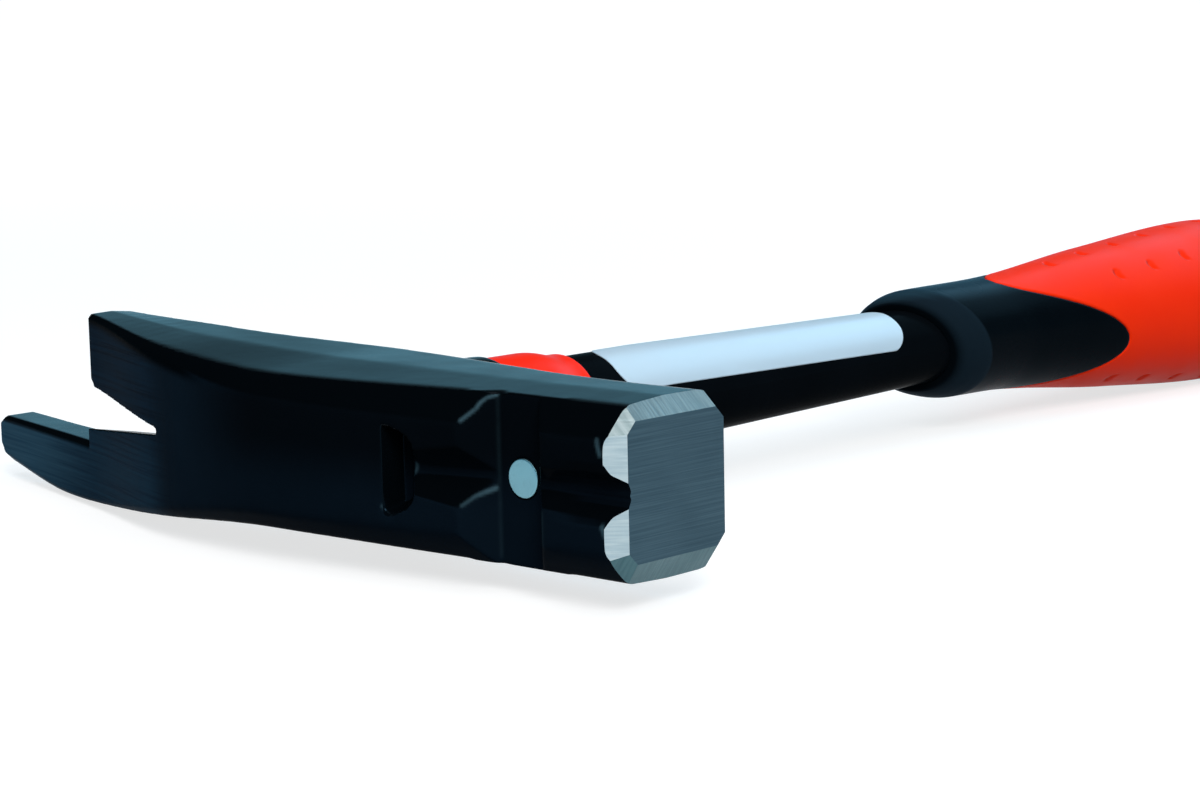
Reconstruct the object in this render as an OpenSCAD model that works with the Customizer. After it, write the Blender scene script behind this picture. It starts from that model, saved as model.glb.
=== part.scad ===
// Lath hammer: forged head with a nail holder and a split claw, tapered steel tube, two-part grip.
// The origin is the middle of the striking face. +X points out of the face, +Y runs along the handle
// towards the butt of the grip, and +Z goes across the cheeks, so the hammer lies on its side.

/* [Striking end] */
// Width of the striking end across the cheeks
face_width = 27; // [25:0.5:30]
// Depth of the striking end along the handle
face_depth = 27; // [25:0.5:30]
// Striking face to the handle's axis
face_reach = 67; // [62:1:75]
// Corner chamfer that turns the square section into an octagon
corner_chamfer = 4.6; // [3.6:0.1:6]
// Ground bevel round the striking face
face_bevel = 2.6; // [1.5:0.1:3.5]
// Width that the ground bevel takes off the corners of the striking face
corner_bevel = 1.7; // [1:0.1:2.6]

/* [Eye] */
// Handle axis station: head axis to the crown
crown_height = 17.8; // [16.5:0.1:20]
// Handle axis station: head axis to the back of the head
back_height = 18; // [16:0.1:20]
// Width across the cheeks at the eye
eye_width = 28; // [27:0.1:30]
// Eye: how far the middle of each cheek stands out over its crown edge
cheek_ridge = 1.1; // [0.6:0.1:1.4]
// Striking end: how far the middle of each cheek stands out over its crown edge
end_ridge = 0.5; // [0.2:0.1:0.8]
// Claw: how far the middle of each cheek stands out over its crown edge
claw_ridge = 0.1; // [0.05:0.05:0.5]
// How far the middle of each cheek stands out over its back edge
back_ridge = 0.1; // [0.05:0.05:0.4]
// End of the short prong: how far the middle of the cheek stands out over its back edge
prong_ridge = 0.5; // [0.1:0.1:1]
// Corner chamfer at the eye
eye_chamfer = 3.4; // [2.6:0.1:4.6]

/* [Claw] */
// Handle axis to the tip of the spike
spike_reach = 117; // [105:1:125]
// Handle axis to the end of the short prong
prong_reach = 71; // [66:1:76]
// Handle axis to the root of the nail notch
notch_reach = 40; // [36:0.5:46]
// Width of the notch at its mouth
notch_mouth = 8; // [6:0.5:10]
// Width of the notch at its root
notch_root = 1.2; // [0.8:0.1:2.4]
// Middle of the notch above the mid-plane
notch_shift = 0.2; // [0:0.1:0.6]
// Rounding of the short prong next to the notch
notch_round = 1.4; // [0.8:0.1:2]
// Angle by which each wall of the notch opens towards the grip
notch_flare = 11; // [4:1:12]
// Width across the claw where it is widest
claw_width = 36; // [33:0.5:40]
// Mid-plane to the inner side of the spike
spike_offset = 6.4; // [6:0.1:8]
// Chamfer of the spike's inner crown edge at its root
spike_chamfer = 1.1; // [0.5:0.1:1.6]
// How much longer the shoulder of the spike is than the short prong
shoulder_step = 2.4; // [1:0.1:4]
// How far the crown at the tip has turned towards the grip
tip_drop = 9; // [6:0.5:12]
// Thickness of the spike at its tip
tip_thickness = 6.4; // [4.5:0.1:8]
// Head axis to the crown at the end of the short prong
prong_crown = 3.2; // [2.5:0.1:5]
// Chamfer of the crown's corners at the end of the short prong
prong_chamfer = 0.7; // [0.6:0.1:2]
// Thickness of the claw at the end of the short prong
prong_thickness = 10.4; // [9.5:0.1:12]

/* [Nail holder] */
// Length of the full section behind the striking face
land_length = 15.4; // [12:0.2:18]
// Length of the lowered flat that holds the magnet, with the slope in front of it
seat_length = 12.8; // [12:0.1:14]
// How far the flat lies below the crown of the full section
seat_drop = 4.4; // [4:0.1:4.8]
// Run of the slope in front of the flat for each unit of its height
seat_lean = 0.93; // [0.6:0.01:1]
// Run of the slope behind the flat for each unit of its height
ramp_lean = 0.8; // [0.7:0.05:1]
// Depth of the nail groove below the crown of the full section
groove_drop = 2.5; // [2:0.1:3]
// Width of the nail groove at the crown of the full section
groove_width = 6.4; // [5.6:0.1:7.6]
// Width of the floor of the nail groove
groove_floor = 1.2; // [0.8:0.1:2]
// Angle by which the groove climbs from the flat to the nail-head pocket
groove_rise = 13.5; // [10:0.5:15]
// Diameter of the magnet
magnet_d = 6.2; // [5:0.1:8]
// Length of the magnet
magnet_length = 6; // [4:0.5:8]
// How far the magnet stands out of the flat
magnet_proud = 0.2; // [0.1:0.1:0.6]
// How far in front of the flat's middle the magnet sits
magnet_shift = 0.7; // [0:0.1:1]
// Striking face to the back wall of the nail-head pocket
pocket_setback = 47.6; // [44:0.2:50]
// Length of the nail-head pocket at the crown
pocket_length = 7.3; // [6.5:0.1:9]
// Width of the nail-head pocket
pocket_width = 14; // [12:0.5:16]
// Depth of the nail-head pocket
pocket_depth = 5; // [4.6:0.1:6]
// Share of the pocket's length that its front slope takes
pocket_slope = 0.7; // [0.5:0.05:0.8]

/* [Socket and collar] */
// Outer diameter of the neck at its end
neck_d = 23.4; // [22.6:0.1:25]
// Head axis to the end of the neck
neck_reach = 27; // [24:0.5:32]
// Wall of the sleeve between the tube and the socket
sleeve_wall = 1; // [0.8:0.1:1.4]
// Steel left between the socket's floor and the crown
socket_floor = 9; // [7:0.5:11]
// Diameter of the collar next to the neck
collar_d = 22.2; // [21.8:0.1:23]
// Length of the collar outside the neck
collar_length = 18.5; // [16:0.5:24]
// Wall of the collar at its far end
collar_lip = 0.6; // [0.4:0.1:1]

/* [Tube] */
// Outer diameter of the tube in the head
tube_d = 18.6; // [17.6:0.1:19]
// Outer diameter of the tube in the grip
tube_grip_d = 15.8; // [15:0.1:17]
// Wall of the tube
tube_wall = 1.6; // [1.2:0.1:2]
// Head axis to where the taper starts
taper_start = 66; // [58:1:72]
// Length of the plug in the head end of the tube
head_plug_length = 26; // [18:1:34]
// Length of the plug in the grip end of the tube
end_plug_length = 14; // [10:1:20]
// Flange of the plug in the grip end
end_plug_flange = 2; // [1.5:0.1:3]

/* [Label] */
// Bare tube between the label and the middle of the grip's front
label_end_gap = 9.5; // [6:0.5:20]
// Width of the label round the tube
label_width = 14; // [10:0.5:16]
// Corner radius of the label
label_corner = 4.5; // [2:0.5:5]
// Thickness of the label film
label_film = 0.15; // [0.1:0.05:0.3]
// Bare tube between the collar and the label
label_gap = 7.5; // [4:0.5:10]
// How far the middle of the label is turned from the upper cheek towards the face
label_turn = 30; // [0:1:60]

/* [Grip] */
// Head axis to the middle of the slanted front
grip_start = 147.5; // [140:0.5:150]
// Head axis to the butt of the grip
grip_end = 312; // [300:1:325]
// How far the grip is turned round the tube, face side towards the lower cheek
grip_turn = 14; // [0:1:20]
// Diameter of the front ring
ring_d = 23.5; // [22.8:0.1:25]
// Wall of the front ring at its rim
ring_rim = 1.5; // [1:0.1:2]
// Length of the rounded nose behind the rim
nose_length = 7.5; // [5:0.5:10]
// Slope of the front, shorter on the face side
ring_slope = 0.65; // [0:0.05:0.9]
// How much further the slope of the front is turned round the tube
front_turn = 18; // [0:1:30]
// Thickness of the belly across the cheeks
belly_d = 36.4; // [34:0.2:39]
// Thickness of the waist behind the belly
waist_d = 33; // [30:0.2:34]
// Thickness of the flared butt
butt_d = 36; // [34:0.2:38]
// Rounding of the butt
butt_round = 5; // [3:0.5:7]
// Share by which the belly is deeper in the plane of the head than it is thick
grip_oval = 0.06; // [0:0.01:0.15]
// How far the belly leans towards the face side
belly_shift = 1.8; // [0:0.1:2.4]
// Middle of the front to the tips of the two tongues
tongue_reach = 59; // [56:0.5:70]
// Length of the rounded end of a tongue
tongue_length = 51; // [46:1:56]
// Middle of the front to the valleys between the tongues
valley_reach = 24.5; // [22:0.5:30]
// Rounding of the valleys
valley_round = 6; // [3:0.5:8]
// Outer diameter of the carrier under the soft shell
carrier_d = 20.6; // [19.6:0.1:21.4]
// Closed end of the carrier behind the tube
carrier_end = 12; // [8:0.5:16]

/* [Hidden] */
// Clearance of glued and pressed fits
fit_gap = 0.05;
// Room that a cutter reaches past the surface it opens
over = 1;
// Stations along the head and its spike, and along the nose, the body and the butt of the grip
head_stations = 60;
spike_stations = 8;
nose_stations = 6;
body_stations = 26;
butt_stations = 5;
// How much narrower each side of the nail-head pocket is at its floor
pocket_draft = 1;
// How far each side of the pocket's front stands out past the groove at the crown
pocket_lip = 0.3;
// Points along each rounded side of the pocket
pocket_points = 5;
// Handle axis to the widest station of the eye, on the claw's side
eye_offset = 8;
// Notch root to the heel of the claw, and how far the back rises from the prong to there
heel_step = 3;
heel_rise = 3;
// Notch root to where the crown starts to drop, and how far it has dropped there
throat_step = 9;
throat_drop = 2.2;
// Widest station of the claw, from the middle of the spike, and how much narrower the tip is
bulge_step = 8;
tip_taper = 2.7;
// Width of the spike's blunt tip, how far its middle lies inwards, and the run of its two slants
tip_width = 2;
tip_shift = 2.5;
tip_inner_run = 3;
tip_outer_run = 5;
// Share of the spike's chamfer that is gone at the tip
chamfer_fade = 0.65;
// Half the length of the flare between the neck and the head
neck_flare = 3;
// Butt to the belly and to the waist, and how far the front slope reaches past the valleys
belly_back = 54;
waist_back = 25;
slope_fade = 13;
// Added radius at the valleys and half-way to the belly
valley_swell = 0.2;
body_swell = 0.6;
// Sides of the grip and points along the edge of a tongue
grip_sides = 40;
tongue_points = 32;

$fn = 64;

// Places along the head, from the handle's axis
section_x = face_reach - land_length;
seat_x = section_x - seat_length;
flat_x = section_x - seat_lean * seat_drop;
magnet_x = (seat_x + flat_x) / 2 + magnet_shift;
pocket_x = face_reach - pocket_setback;
eye_x = -eye_offset;
heel_x = -notch_reach - heel_step;
bulge_x = -(prong_reach + spike_reach) / 2 + bulge_step;
// Heights of the magnet's flat and of the groove's floor
seat_y = seat_drop - face_depth / 2;
groove_y = groove_drop - face_depth / 2;

// Heights and widths along the head: each pair is a place and a size
crown_line = [
    [-spike_reach, tip_drop],
    [-prong_reach, -prong_crown],
    [-notch_reach + throat_step, throat_drop - crown_height],
    [eye_x, -crown_height],
    [section_x, -face_depth / 2],
    [face_reach + over, -face_depth / 2],
];
back_line = [
    [-spike_reach, tip_drop + tip_thickness],
    [-prong_reach, prong_thickness - prong_crown],
    [heel_x, prong_thickness - prong_crown + heel_rise],
    [eye_x, back_height],
    [section_x, face_depth / 2],
    [face_reach + over, face_depth / 2],
];
half_line = [
    [-spike_reach, claw_width / 2 - tip_taper],
    [bulge_x, claw_width / 2],
    [heel_x, (claw_width + face_width) / 4],
    [eye_x, eye_width / 2],
    [section_x, face_width / 2],
    [face_reach + over, face_width / 2],
];
chamfer_line = [
    [-spike_reach, tip_thickness / 4],
    [-prong_reach, prong_chamfer],
    [eye_x, eye_chamfer],
    [section_x, corner_chamfer],
    [face_reach + over, corner_chamfer],
];
crown_ridge_line = [
    [-spike_reach, claw_ridge],
    [-prong_reach, claw_ridge],
    [eye_x, cheek_ridge],
    [section_x, end_ridge],
    [face_reach + over, end_ridge],
];
back_ridge_line = [
    [-spike_reach, prong_ridge],
    [-prong_reach, prong_ridge],
    [heel_x, back_ridge],
    [face_reach + over, back_ridge],
];

// Radii of the socket, its sleeve and the tube
tube_r = tube_d / 2;
tube_grip_r = tube_grip_d / 2;
sleeve_r = tube_r + fit_gap + sleeve_wall;
socket_r = sleeve_r + fit_gap;
socket_y = socket_floor - crown_height;
collar_end = neck_reach + collar_length;
tube_start = socket_y + fit_gap;
label_start = collar_end + label_gap;
label_length = grip_start - label_end_gap - label_start;
tube_end = grip_end - carrier_end - end_plug_flange;

// Places and radii along the grip
nose_end = grip_start + nose_length;
swell_y = grip_start + valley_reach;
belly_y = grip_end - belly_back;
waist_y = grip_end - waist_back;
butt_y = grip_end - butt_round;
rim_r = tube_grip_r + ring_rim;
ring_r = ring_d / 2;
butt_r = butt_d / 2;
thick_line = [
    [grip_start, rim_r],
    [grip_start + nose_length * 0.2, rim_r + (ring_r - rim_r) * 0.34],
    [grip_start + nose_length * 0.5, rim_r + (ring_r - rim_r) * 0.7],
    [nose_end, ring_r],
    [swell_y, ring_r + valley_swell],
    [(swell_y + belly_y) / 2, (ring_d + belly_d) / 4 + body_swell],
    [belly_y, belly_d / 2],
    [waist_y, waist_d / 2],
    [butt_y, butt_r],
    [butt_y + butt_round * 0.5, butt_r - butt_round * 0.13],
    [butt_y + butt_round * 0.87, butt_r - butt_round * 0.5],
    [grip_end, butt_r - butt_round],
];
// Share of the oval and of the lean at each place, from the round front ring to the belly
oval_line = [
    [grip_start, 0],
    [nose_end, 0],
    [swell_y, 0.1],
    [belly_y, 1],
    [grip_end, 1],
];
// Share of the front slope at each place, which dies away behind the valleys
slope_line = [
    [grip_start, 1],
    [nose_end, 1],
    [swell_y + slope_fade, 0],
    [grip_end, 0],
];
grip_places = concat(
    [for (k = [0:nose_stations]) grip_start + nose_length * k / nose_stations],
    [for (k = [1:body_stations]) nose_end + (butt_y - nose_end) * k / body_stations],
    [for (k = [1:butt_stations]) butt_y + butt_round * sin(90 * k / butt_stations)]
);

// Slope of the chord that starts at point i of a line
function chord(line, i) =
    (line[i + 1][1] - line[i][1]) / (line[i + 1][0] - line[i][0]);

// Slope of the smooth line at point i, which never overshoots its neighbours
function slope(line, i) =
    i == 0 ? chord(line, 0)
    : i == len(line) - 1 ? chord(line, i - 1)
    : chord(line, i - 1) * chord(line, i) <= 0 ? 0
    : 2 * chord(line, i - 1) * chord(line, i) / (chord(line, i - 1) + chord(line, i));

// Number of the stretch of a line that holds x
function stretch(line, x, i = 0) =
    i == len(line) - 2 || x < line[i + 1][0] ? i : stretch(line, x, i + 1);

// Smooth value of a line at x
function along(line, x) =
    let (
        i = stretch(line, x),
        span = line[i + 1][0] - line[i][0],
        t = (x - line[i][0]) / span,
        rise = line[i + 1][1] - line[i][1]
    )
    line[i][1] + rise * t * t * (3 - 2 * t)
    + span * slope(line, i) * t * (1 - t) * (1 - t)
    - span * slope(line, i + 1) * t * t * (1 - t);

// One side of the head's section at x, from the crown to the back
function half_section(x) =
    let (
        crown = along(crown_line, x),
        back = along(back_line, x),
        half = along(half_line, x),
        crown_edge = half - along(crown_ridge_line, x),
        back_edge = half - along(back_ridge_line, x),
        cut = along(chamfer_line, x)
    )
    [
        [x, crown, crown_edge - cut],
        [x, crown + cut, crown_edge],
        [x, (crown + back) / 2, half],
        [x, back - cut, back_edge],
        [x, back, back_edge - cut],
    ];

// Closed ring of the head's section at x
function head_ring(x) =
    let (side = half_section(x))
    concat(side, [for (i = [len(side) - 1:-1:0]) [x, side[i][1], -side[i][2]]]);

// Closed ring of the grip at station y
function grip_ring(y) =
    let (
        share = along(oval_line, y),
        thick = along(thick_line, y),
        deep = thick * (1 + grip_oval * share),
        tilt = ring_slope * along(slope_line, y)
    )
    [
        for (i = [0:grip_sides - 1])
            let (a = 360 * i / grip_sides)
            [
                deep * cos(a) + belly_shift * share,
                y + tilt * deep * cos(a + front_turn),
                thick * sin(a),
            ]
    ];

// Point of a tongue's rounded edge at angle a, blended into the valleys
function tongue_edge(a) =
    let (
        edge = grip_start + tongue_reach + tongue_length * (cos(a) - 1),
        over_valley = (edge - swell_y) / 2
    )
    [
        (ring_r + valley_swell) * sin(a),
        swell_y + over_valley + sqrt(over_valley * over_valley + valley_round * valley_round),
    ];

// Outer radius of the tube at station y
function tube_radius(y) =
    y <= taper_start ? tube_r
    : y >= grip_start ? tube_grip_r
    : tube_r + (tube_grip_r - tube_r) * (y - taper_start) / (grip_start - taper_start);

// Moves a piece from the handle's axis to the frame of the striking face
module in_frame() {
    translate([-face_reach, 0, 0]) children();
}

// Turns a profile of radii and stations round the handle's axis
module turned(profile) {
    rotate([-90, 0, 0]) rotate_extrude() polygon(profile);
}

// Plain round bar along the handle's axis
module bar(radius, from, to) {
    translate([0, from, 0]) rotate([-90, 0, 0]) cylinder(r = radius, h = to - from);
}

// Cutter or block with an outline seen along the handle, across the whole head
module plan_block(outline) {
    rotate([90, 0, 0]) linear_extrude(height = 4 * crown_height, center = true) polygon(outline);
}

// Skin over rings of equal count, closed at both ends
module loft(rings) {
    count = len(rings[0]);
    last = len(rings) - 1;
    sides = [
        for (k = [0:last - 1], i = [0:count - 1], half = [0, 1])
            let (j = (i + 1) % count)
            half == 0
                ? [k * count + i, k * count + j, (k + 1) * count + i]
                : [k * count + j, (k + 1) * count + j, (k + 1) * count + i]
    ];
    ends = [
        [for (i = [count - 1:-1:0]) i],
        [for (i = [0:count - 1]) last * count + i],
    ];
    polyhedron(points = [for (ring = rings) each ring], faces = concat(sides, ends), convexity = 6);
}

// Forged bar of the head, before any cut
module head_bar() {
    from = -spike_reach;
    step = (face_reach + over - from) / (head_stations - 1);
    loft([for (k = [0:head_stations - 1]) head_ring(from + k * step)]);
}

// Everything that is ground off round the striking face
module face_cuts() {
    size = 2 * face_width;
    for (i = [0:7]) {
        side = i % 4 == 2 ? face_depth / 2 : face_width / 2;
        corner = (face_width + face_depth - 2 * corner_chamfer) / (2 * sqrt(2));
        straight = i % 2 == 0;
        lean = straight ? 45 : atan(corner_bevel / face_bevel);
        rotate([45 * i, 0, 0])
            translate([face_reach - face_bevel, 0, straight ? side : corner])
                rotate([0, lean, 0])
                    translate([0, -size / 2, 0])
                        cube([size, size, size]);
    }
    translate([face_reach, -size / 2, -size / 2]) cube([size, size, size]);
}

// Ring of the notch's outline, wider by a given amount, at one height or along the crown
function notch_ring(widen, height, on_crown) =
    let (
        mouth = notch_mouth / 2 + widen,
        root = notch_root / 2 + widen,
        far = prong_reach + shoulder_step,
        outline = concat(
            [[-far, -mouth]],
            [for (a = [-90:30:90]) [root * cos(a) - notch_reach, root * sin(a)]],
            [[-prong_reach + notch_round, mouth], [-far, mouth + notch_round + shoulder_step]]
        )
    )
    [for (p = outline) [p[0], on_crown ? along(crown_line, p[0]) : height, p[1] + notch_shift]];

// Notch with a rounded root and walls that open towards the grip
module notch_cut() {
    reach = 2 * crown_height;
    loft([
        notch_ring(0, -reach, false),
        notch_ring(0, 0, true),
        notch_ring(reach * tan(notch_flare), reach, false),
    ]);
}

// Everything above the spike
module claw_cut() {
    far = spike_reach + over;
    wide = claw_width;
    shoulder = prong_reach + shoulder_step;
    plan_block([[-prong_reach, 0], [-prong_reach, wide], [-far, wide], [-far, 0]]);
    plan_block([[-shoulder, wide], [-far, wide], [-far, -spike_offset], [-shoulder, -spike_offset]]);
}

// Section of the chamfer along the spike's inner crown edge, at a share of the way to the tip
function spike_edge_ring(share) =
    let (
        root = prong_reach + shoulder_step,
        x = -root - (spike_reach + over - root) * share,
        crown = along(crown_line, x),
        cut = spike_chamfer * (1 - chamfer_fade * share)
    )
    [
        [x, crown - over, over - spike_offset],
        [x, crown + cut + over, over - spike_offset],
        [x, crown - over, -spike_offset - cut - over],
    ];

// Chamfer that runs out towards the tip
module spike_edge_cut() {
    loft([for (k = [spike_stations:-1:0]) spike_edge_ring(k / spike_stations)]);
}

// Slanted corners that leave the blunt tip of the spike
module tip_cut() {
    far = spike_reach + over;
    wide = claw_width;
    tip_mid = (spike_offset + claw_width / 2) / 2 - tip_shift;
    inner = tip_width / 2 - tip_mid;
    outer = -tip_width / 2 - tip_mid;
    plan_block([
        [-far, inner],
        [-spike_reach + tip_inner_run, -spike_offset],
        [-far, -spike_offset + over],
    ]);
    plan_block([
        [-far, outer],
        [-far, -wide],
        [-spike_reach + tip_outer_run, -wide / 2],
    ]);
}

// Lowered flat of the magnet with the slopes up to the crown
module seat_cut() {
    reach = crown_height;
    linear_extrude(height = 2 * face_width, center = true)
        polygon([
            [flat_x, seat_y],
            [seat_x, seat_y],
            [seat_x - ramp_lean * reach, seat_y - reach],
            [flat_x + seat_lean * reach, seat_y - reach],
        ]);
}

// Bar along the head with the groove's section, from its floor up past the crown
module groove_bar(length) {
    reach = crown_height;
    floor_half = groove_floor / 2;
    top_half = floor_half + reach * (groove_width - groove_floor) / 2 / groove_drop;
    rotate([180, 0, 0]) rotate([0, 90, 0])
        linear_extrude(height = length)
            polygon([[floor_half, 0], [top_half, reach], [-top_half, reach], [-floor_half, 0]]);
}

// Groove that the nail lies in, from the pocket over the flat to the striking face
module groove_cut() {
    back_length = seat_x - pocket_x - pocket_length * (1 - pocket_slope);
    translate([seat_x, groove_y, 0]) groove_bar(face_reach - seat_x + over);
    translate([seat_x, seat_y, 0])
        rotate([0, 0, groove_rise])
            translate([-back_length, 0, 0])
                groove_bar(back_length);
}

// Outline of the nail-head pocket at a share of its depth below the crown
function pocket_ring(share) =
    let (
        height = along(crown_line, pocket_x) + pocket_depth * share,
        half = pocket_width / 2 - pocket_draft * share,
        neck = groove_width / 2 + pocket_lip * (1 - share),
        reach = pocket_length * (1 - pocket_slope * share),
        side = [
            for (i = [0:pocket_points])
                let (a = 90 * i / pocket_points)
                [pocket_x + reach * sin(a), height, -neck - (half - neck) * cos(a)]
        ]
    )
    concat(side, [for (i = [pocket_points:-1:0]) [side[i][0], height, -side[i][2]]]);

// Pocket for the nail's head, upright at the back, rounded and sloped in front
module pocket_cut() {
    loft([pocket_ring(-1), pocket_ring(1)]);
}

// Neck round the socket, flared where it leaves the head
module neck() {
    neck_r = neck_d / 2;
    root_r = eye_width / 2 - cheek_ridge;
    turned([
        [0, socket_y],
        [root_r, socket_y],
        [root_r, back_height - neck_flare],
        [neck_r, back_height + neck_flare],
        [neck_r, neck_reach],
        [0, neck_reach],
    ]);
}

module head() {
    color("#1d2226") in_frame() difference() {
        union() {
            head_bar();
            neck();
        }
        face_cuts();
        notch_cut();
        claw_cut();
        spike_edge_cut();
        tip_cut();
        seat_cut();
        groove_cut();
        pocket_cut();
        translate([magnet_x, 0, 0]) bar(magnet_d / 2 + fit_gap, seat_y - over, seat_y + magnet_length);
        bar(socket_r, socket_y, neck_reach + over);
    }
}

module nail_magnet() {
    color("#c3d0d2") in_frame()
        translate([magnet_x, 0, 0]) bar(magnet_d / 2, seat_y - magnet_proud, seat_y + magnet_length);
}

module socket_collar() {
    bore = tube_r + fit_gap;
    shoulder_y = neck_reach + collar_length * 0.6;
    ring_y = neck_reach + collar_length * 0.85;
    color("#ff3a1c") in_frame() turned([
        [bore, socket_y + over],
        [sleeve_r, socket_y + over],
        [sleeve_r, neck_reach],
        [collar_d / 2, neck_reach],
        [collar_d / 2, shoulder_y],
        [bore + collar_lip, ring_y],
        [bore + collar_lip, collar_end],
        [bore, collar_end],
    ]);
}

module handle_tube() {
    color("#14181b") in_frame() turned([
        [tube_r, tube_start],
        [tube_r, taper_start],
        [tube_grip_r, grip_start],
        [tube_grip_r, tube_end],
        [tube_grip_r - tube_wall, tube_end],
        [tube_grip_r - tube_wall, grip_start],
        [tube_r - tube_wall, taper_start],
        [tube_r - tube_wall, tube_start],
    ]);
}

module head_plug() {
    color("#3a3a3a") in_frame()
        bar(tube_r - tube_wall - fit_gap, tube_start, tube_start + head_plug_length);
}

module tube_end_plug() {
    color("#3a3a3a") in_frame() {
        bar(tube_grip_r - tube_wall - fit_gap, tube_end - end_plug_length, tube_end);
        bar(tube_grip_r, tube_end, tube_end + end_plug_flange);
    }
}

// Rounded outline of the label, flat, along Y
module label_outline(half) {
    r = label_corner;
    translate([-half, label_start + r]) square([2 * half, label_length - 2 * r]);
    translate([-half + r, label_start]) square([2 * half - 2 * r, label_length]);
    for (x = [-half + r, half - r], y = [label_start + r, label_start + label_length - r])
        translate([x, y]) circle(r = r);
}

module tube_label() {
    from = label_start - over;
    mid_r = tube_radius(label_start + label_length / 2);
    half = mid_r * sin(label_width / 2 / mid_r * 180 / PI);
    under = tube_r + fit_gap;
    narrowing = tube_r - tube_grip_r;
    color("#e6f2fa") in_frame() intersection() {
        turned([
            [under, from],
            [under, taper_start],
            [under - narrowing, grip_start],
            [under - narrowing + label_film, grip_start],
            [under + label_film, taper_start],
            [under + label_film, from],
        ]);
        rotate([0, label_turn, 0]) linear_extrude(height = tube_d) label_outline(half);
    }
}

// Outer form of the whole grip
module grip_form() {
    rotate([0, grip_turn, 0]) loft([for (y = grip_places) grip_ring(y)]);
}

// Space of the hard front of the grip, with a tongue on each side
module front_zone() {
    front = grip_start - ring_d;
    rotate([0, grip_turn, 0]) rotate([0, 90, 0])
        linear_extrude(height = 2 * belly_d, center = true) {
            translate([-belly_d, front]) square([2 * belly_d, tongue_edge(90)[1] - front]);
            polygon([for (i = [0:tongue_points]) tongue_edge(180 * i / tongue_points - 90)]);
        }
}

// Sleeve under the soft shell, closed behind the tube
module carrier_sleeve() {
    bar(carrier_d / 2, swell_y - nose_length, grip_end);
}

module grip_carrier() {
    color("#14181b") in_frame() difference() {
        union() {
            intersection() {
                grip_form();
                front_zone();
            }
            carrier_sleeve();
        }
        bar(tube_grip_r + fit_gap, grip_start - ring_d, tube_end + end_plug_flange);
    }
}

module grip_shell() {
    color("#ff3a1c") in_frame() difference() {
        grip_form();
        front_zone();
        carrier_sleeve();
    }
}

head();
nail_magnet();
socket_collar();
handle_tube();
head_plug();
tube_end_plug();
tube_label();
grip_carrier();
grip_shell();
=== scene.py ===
"""Lath hammer: the looks of every piece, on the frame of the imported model."""

import math

import bmesh
import bpy
import numpy as np
from mathutils import Matrix, Vector


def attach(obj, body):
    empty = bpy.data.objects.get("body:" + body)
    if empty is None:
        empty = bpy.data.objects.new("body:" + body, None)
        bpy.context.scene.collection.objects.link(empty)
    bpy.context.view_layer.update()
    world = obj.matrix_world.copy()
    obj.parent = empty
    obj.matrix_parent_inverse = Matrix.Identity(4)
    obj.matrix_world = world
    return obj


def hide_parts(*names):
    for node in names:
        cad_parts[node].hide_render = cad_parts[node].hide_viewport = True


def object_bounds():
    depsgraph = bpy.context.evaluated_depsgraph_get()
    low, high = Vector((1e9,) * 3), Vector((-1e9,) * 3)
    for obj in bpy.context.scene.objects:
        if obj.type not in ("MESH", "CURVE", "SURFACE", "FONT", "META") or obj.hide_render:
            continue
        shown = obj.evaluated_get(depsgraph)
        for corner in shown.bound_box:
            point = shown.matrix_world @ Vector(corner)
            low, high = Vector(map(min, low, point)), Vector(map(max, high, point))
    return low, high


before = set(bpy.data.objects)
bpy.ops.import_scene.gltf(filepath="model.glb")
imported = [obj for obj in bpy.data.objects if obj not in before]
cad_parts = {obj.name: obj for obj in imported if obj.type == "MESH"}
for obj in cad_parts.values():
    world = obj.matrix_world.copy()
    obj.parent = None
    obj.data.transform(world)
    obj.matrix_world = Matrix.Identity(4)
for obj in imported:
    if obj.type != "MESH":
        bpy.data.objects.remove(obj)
cad_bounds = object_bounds()

# Metres in a millimetre, and the place of the handle's axis.
# Sizes are in mm unless a comment says otherwise.
MM = 0.001
HANDLE_X = -67.0

# Numbers of the head's materials
SIDE, FACE, BEVEL, CROWN, CLAW = range(5)

# Striking end: half its width, its corner chamfer, its ground bevel and how wide that is at the corners
FACE_HALF = 13.5
CORNER_CHAMFER = 4.6
FACE_BEVEL = 2.6
CORNER_BEVEL = 1.7

# Where the head's mesh is cut off behind the face, how far it then runs on past it,
# and the tolerances of the cuts in m
FACE_CUT = 7.0
FACE_OVER = 4.0
WELD_GAP = 1e-6
GRIND_GAP = 1e-7

# Drop of the under cheek: its depth, where it fades in along the head, below the axis and at the neck,
# and how much wider the bevel is there
UNDER_DROP = 0.9
UNDER_ALONG = (-90.0, -25.0)
UNDER_BELOW = (5.0, 11.0)
UNDER_NECK = (14.0, 20.0)
UNDER_BEVEL = 1.25

# Flare of the nail groove at the face: where it fades in, and its depth at distances from the middle
FLARE_ALONG = (-16.0, -7.0)
FLARE_ACROSS = (0, 1.9, 3.0, 4.2, 4.8)
FLARE_DEPTH = (0.45, 1.4, 0.9, 0.3, 0.0)
FLARE_FRONT = -9.0

# Halvings of the forged head's mesh and rounds of smoothing
HEAD_DEPTH = 9
EDGE_ROUNDS = 2
CORNER_ROUNDS = 24

# Fades of the corners' smoothing, along the head and from its middle to the cheeks,
# and of the flat that it spares: its two ends and its height
BODY_FADE = (-118.0, -98.0)
CHEEK_FADE = (6.5, 9.0)
SEAT_START = (-35.0, -33.0)
SEAT_END = (-14.5, -13.0)
SEAT_HEIGHT = (-9.0, -6.0)

# How far a face looks to the crown's side, as a share, to take the dull lacquer, whose colour carries
# painted reflection and shade
FRONT_FACING = 0.35

# How far a surface looks upwards, as a share, where painted black shade on the dull lacquer starts and
# is full
UPWARD_SHADE = (0.25, 0.6)
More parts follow.
